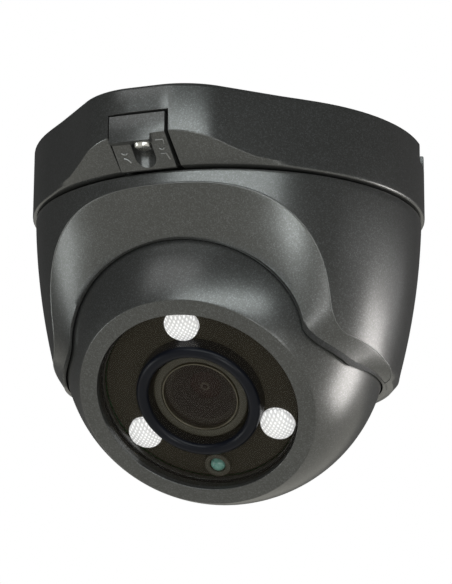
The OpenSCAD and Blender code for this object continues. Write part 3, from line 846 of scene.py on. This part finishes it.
def lamp_dome():
    """A lamp lens: a low dome with crossed rows of small facets, and a straight side."""
    rings = 30
    turns = [2 * math.pi * j / LAMP_SIDES for j in range(LAMP_SIDES)]
    rows = []
    for i in range(rings + 1):
        r = (LAMP_R - 0.25) * i / rings
        row = []
        for a in turns:
            x, y = r * math.cos(a), r * math.sin(a)
            z = DOME_CENTRE_Z + math.sqrt(DOME_R ** 2 - r * r) - 0.16
            wave = abs(math.sin(math.pi * (x + y) / FACET)) * abs(math.sin(math.pi * (x - y) / FACET))
            row.append(Vector((x, y, z + FACET_DEPTH * wave)))
        rows.append(row)
    for r, z in ((LAMP_R - 0.05, 31.5), (LAMP_R, 31.35), (LAMP_R, 27.3), (LAMP_R - 0.2, 27.05)):
        rows.append([Vector((r * math.cos(a), r * math.sin(a), z)) for a in turns])
    rows.append([Vector((0, 0, 27.05)) for _ in turns])
    return grid(rows, around=False)


def lamp_material():
    """White lens plastic that gives off a little light, dimmer along the lines between facets."""
    n = Nodes("lamp_optic", (0.93, 0.94, 0.95), roughness=0.2, Coat_Weight=0.4, Coat_Roughness=0.08,
              Emission_Strength=1.3)
    facets = n.ramp(n.noise(1.4, 2), (0.3, (0.80, 0.81, 0.83)), (0.7, (0.97, 0.97, 0.97)))
    n.color_from(facets)
    glow = n.ramp(n.crossed_lines(0.5), (0.0, grey(0.36)), (0.5, grey(0.68)), (0.85, grey(1)))
    n.link(glow, n.shader.inputs["Emission Color"])
    n.material.cycles.emission_sampling = "NONE"
    n.bump(n.noise(0.3, 2), 0.01)
    return n.material


def lamp_tab(x, y, azimuth):
    """One of the two small tabs on the rim of a lamp lens."""
    a = math.radians(azimuth)
    place = Matrix.Translation((x + 5.0 * math.cos(a), y + 5.0 * math.sin(a), 0))
    return moved(box(-0.9, 0.9, -0.45, 0.35, 29.6, 31.7), place @ Matrix.Rotation(a - math.pi / 2, 4, "Z"))


def make_lamps():
    """The three lamp lenses, each with its sleeve behind it."""
    optic = lamp_material()
    bore_r, sleeve_r, sleeve_top = 4.6, 5.55, 27
    sleeve_shape = [(bore_r, ON_BOARD, 0.1), (sleeve_r, ON_BOARD, 0.1), (sleeve_r, sleeve_top, 0.1),
                    (bore_r, sleeve_top, 0.1)]
    lenses, sleeves = [], []
    for k in range(LAMPS):
        x, y = lamp_xy(k)
        spot = Matrix.Translation((x, y, 0))
        lenses.append(moved(lamp_dome(), spot))
        lenses += [lamp_tab(x, y, azimuth) for azimuth in (35, 215)]
        sleeves.append(moved(lathe(sleeve_shape, 64, 2), spot))
    obj = in_ball("lamp_optics", merged(*lenses), optic, 60)
    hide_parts("lamp_lenses")
    obj = in_ball("lamp_sleeves", merged(*sleeves), BLACK)
    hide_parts("lamp_holders")


def make_sensor():
    """The green bead of the light sensor and the sleeve round it."""
    spot = Matrix.Translation((*SENSOR_XY, 0))
    shoulder = 29.9
    pts = [(0, ON_BOARD, 0), (SENSOR_R, ON_BOARD, 0.1), (SENSOR_R, shoulder, 0)]
    pts += arc(SENSOR_R, 8, 84, 10, (0, shoulder)) + [(0, 32.5, 0)]
    n = Nodes("sensor_dome", (0.16, 0.42, 0.36), roughness=0.12, Coat_Weight=0.8)
    n.color_from(n.ramp(n.noise(1.2, 2), (0.3, (0.14, 0.40, 0.35)), (0.7, (0.30, 0.62, 0.54))))
    obj = in_ball("sensor_bead", moved(lathe(pts, 64, 3), spot), n.material, 50)
    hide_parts("light_sensor")
    bore_r, sleeve_r, front = 2.65, 4.25, 31.6
    pts = [(bore_r, ON_BOARD, 0.1), (sleeve_r, ON_BOARD, 0.1), (sleeve_r, front, 0.3), (bore_r, front, 0.4)]
    obj = in_ball("sensor_ring", moved(lathe(pts, 64, 3), spot), BARREL)
    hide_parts("sensor_sleeve")


# ---- Lens ----

def dome(radius, rim_r, end, steps, centre_z, tip_z):
    """Profile of a convex glass face, from its rim in to the axis."""
    return arc(radius, math.degrees(math.acos(rim_r / radius)), end, steps, (0, centre_z)) + [(0, tip_z, 0)]


def make_lens_barrel():
    """The lens's body, with the thin bright lip round its front glass."""
    outside = [(9, -3.35, 0.3), (9, 1.6, 0.1), (13.6, 1.6, 0.4), (13.6, 24, 0.1), (15.4, 24, 0.4),
               (15.4, 32.2, 0.5)]
    inside = [(12.9, 32.2, 0.15), (12.8, 31.5, 0.15), (12.45, 31.5, 0.1), (12.4, 29.6, 0.1),
              (10.2, 29.6, 0.1), (10.2, 14.1, 0.1), (7.4, 14.1, 0.1), (7.4, -3.35, 0.2)]
    obj = in_ball("lens_barrel_body", lathe(outside + inside, 144, 3), BARREL, 35)
    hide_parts("lens_body")
    lip = [(12.0, 29.65, 0.05), (12.38, 29.65, 0.05), (12.38, 32.5, 0.12), (12.0, 32.5, 0.12)]
    in_ball("lens_lip", lathe(lip, 144, 3), LIP)


def make_lens_glass():
    """The front glass, and what shows dimly behind it: steps, an inner glass and the iris."""
    front = [(0, 29.65, 0), (11.9, 29.65, 0.1), (11.9, 31.1, 0)] + dome(62, 11.8, 89.6, 12, -29.6, 32.4)
    obj = in_ball("front_glass", lathe(front, 96, 2), COATED)
    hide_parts("front_element")
    steps = [(10.1, 28.9, 0), (8.3, 28.2, 0), (8.2, 27.6, 0), (6.7, 27.0, 0), (6.6, 26.4, 0),
             (5.3, 26.0, 0), (5.2, 24.8, 0), (10.1, 24.8, 0)]
    in_ball("lens_baffle", lathe(steps, 96, 2), BARREL_DARK, 30)
    inner = [(0, 24.4, 0), (5.1, 24.4, 0.1), (5.1, 25.2, 0)] + dome(14, 5.0, 89, 10, 12.1, 26.1)
    in_ball("inner_glass", lathe(inner, 96, 2), RED_COAT)
    iris = [(0.9, 26.15, 0.05), (1.5, 26.1, 0.05), (1.5, 26.3, 0.05), (0.9, 26.35, 0.05)]
    in_ball("iris_edge", lathe(iris, 64, 2), LIP)


# ---- Room, lights and camera ----

# Metres, up to the light centre; the camera's place is in millimetres, as is its lens.
FLOOR_SIZE = 24
FLOOR_Z = -1.6
LIGHT_CENTRE = Vector((0, -0.01, -0.06))
CAMERA_AT = Vector((264.9, -729.6, -251.7))
CAMERA_RIGHT = Vector((0.9402, 0.3406, 0.0062))
CAMERA_BACK = Vector((0.3308, -0.9083, -0.2560))
CAMERA_LENS = 149.9
CAMERA_SENSOR = 36


def make_room():
    """A plain pale floor far below, which gives off a little light of its own."""
    bpy.ops.mesh.primitive_plane_add(size=FLOOR_SIZE, location=(0, 0, FLOOR_Z))
    floor = bpy.context.object
    floor.name = "floor"
    n = Nodes("floor_paper", (0.72, 0.72, 0.72), roughness=0.8, Emission_Color=(1, 0.98, 0.88, 1),
              Emission_Strength=0.52)
    n.color_from(n.ramp(n.noise(300, 3), (0.3, grey(0.70)), (0.7, grey(0.74))))
    dress(floor, n.material)


def make_world():
    """Dim walls that light the part and show in its paint; the camera itself sees plain white."""
    world = bpy.data.worlds.new("studio")
    world.use_nodes = True
    tree = world.node_tree
    room = tree.nodes["Background"]
    coords = tree.nodes.new("ShaderNodeTexCoord")
    split = tree.nodes.new("ShaderNodeSeparateXYZ")
    ramp = tree.nodes.new("ShaderNodeValToRGB")
    tree.links.new(coords.outputs["Generated"], split.inputs["Vector"])
    tree.links.new(split.outputs["Z"], ramp.inputs["Fac"])
    fill_ramp(ramp, ((0.0, grey(0.10)), (0.2, grey(0.06)), (0.6, grey(0.06)), (1.0, grey(0.12))))
    tree.links.new(ramp.outputs["Color"], room.inputs["Color"])
    backdrop = tree.nodes.new("ShaderNodeBackground")
    backdrop.inputs["Color"].default_value = (1, 1, 1, 1)
    path = tree.nodes.new("ShaderNodeLightPath")
    mix = tree.nodes.new("ShaderNodeMixShader")
    tree.links.new(path.outputs["Is Camera Ray"], mix.inputs["Fac"])
    tree.links.new(room.outputs["Background"], mix.inputs[1])
    tree.links.new(backdrop.outputs["Background"], mix.inputs[2])
    tree.links.new(mix.outputs["Shader"], tree.nodes["World Output"].inputs["Surface"])
    bpy.context.scene.world = world


def softbox(name, azimuth, elevation, distance, size, radiance, color=(1, 1, 1)):
    """A soft rectangular light, placed round the part by an azimuth and elevation in degrees."""
    light = bpy.data.lights.new(name, "AREA")
    light.shape = "RECTANGLE"
    light.size, light.size_y = size
    light.energy = radiance * math.pi * size[0] * size[1]
    light.color = color
    obj = bpy.data.objects.new(name, light)
    bpy.context.scene.collection.objects.link(obj)
    a, e = math.radians(azimuth), math.radians(elevation)
    out = Vector((math.sin(a) * math.cos(e), -math.cos(a) * math.cos(e), math.sin(e)))
    obj.location = LIGHT_CENTRE + out * distance
    obj.rotation_mode = "QUATERNION"
    obj.rotation_quaternion = (-out).to_track_quat("-Z", "Y")
    obj.visible_camera = False


def make_lights():
    softbox("front", 17, 14, 0.8, (0.95, 0.18), 5.4, (0.94, 1.0, 1.0))
    softbox("low_front", 24, -26, 0.8, (0.15, 0.20), 9.0, (0.95, 1.0, 1.0))
    softbox("side_front", 52, -15, 0.8, (0.13, 0.13), 6.0)
    softbox("right", 122, -13, 0.7, (0.26, 0.34), 9.0, (1.0, 0.955, 0.94))
    softbox("left", -62, -13, 0.7, (0.16, 0.24), 4.3, (0.95, 1.0, 1.0))
    softbox("overhead", -20, 34, 0.8, (0.50, 0.30), 1.3)
    softbox("far_right", 118, 6, 0.9, (1.0, 0.16), 0.7)


def make_camera():
    """The photograph's viewpoint, which was fitted to the photograph's outlines."""
    data = bpy.data.cameras.new("photo_camera")
    data.lens = CAMERA_LENS
    data.sensor_width = CAMERA_SENSOR
    data.clip_start = 0.05
    cam = bpy.data.objects.new("photo_camera", data)
    bpy.context.scene.collection.objects.link(cam)
    right = CAMERA_RIGHT.normalized()
    back = CAMERA_BACK.normalized()
    up = back.cross(right).normalized()
    right = up.cross(back)
    turn = Matrix((right, up, back)).transposed().to_4x4()
    cam.matrix_world = Matrix.Translation(CAMERA_AT * MM) @ turn
    bpy.context.scene.camera = cam
    bpy.context.scene.view_settings.view_transform = "Standard"


# ---- Carried-over CAD nodes ----

CARRIED = {
    "ceiling_gasket": RUBBER, "cable_grommet": RUBBER, "pan_washer": NYLON, "pan_ring": ZINC,
    "pan_ring_screws": STEEL, "ball_clamp_ring": CAST, "clamp_screws": STEEL, "guide_strap": ZINC,
    "strap_screws": STEEL, "rotation_stop_ring": BLACK, "rear_housing": PAINT, "housing_oring": RUBBER,
    "housing_screws": STEEL, "neck_circlip": STEEL, "cable_gland": RUBBER, "window_gasket": RUBBER,
    "lamp_board": BOARD, "lamp_board_screws": STEEL, "lamp_emitters": PHOSPHOR, "rear_elements": COATED,
    "iris_ring": BLACK, "camera_bracket": ZINC, "bracket_screws": STEEL, "lens_mount": BLACK,
    "ir_filter_frame": BLACK, "image_sensor": CHIP, "sensor_board": BOARD, "board_standoffs": BRASS,
    "board_screws": STEEL, "main_board": BOARD, "main_processor": CHIP, "board_connectors": NYLON,
    "focus_ring": BLACK, "focus_lock_screw": STEEL, "zoom_ring": BLACK, "zoom_lock_screw": STEEL,
    "ir_filter": FILTER,
}


make_camera()
make_room()
make_world()
make_lights()
make_base()
make_latch()
make_latch_marks()
make_lock_screw()
make_cover()
make_brow_edge()
make_ball_front()
make_windows()
make_light_shield()
make_inner_bezel()
make_lamps()
make_sensor()
make_lens_barrel()
make_lens_glass()
for node_name, node_material in CARRIED.items():
    dress(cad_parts[node_name], node_material)
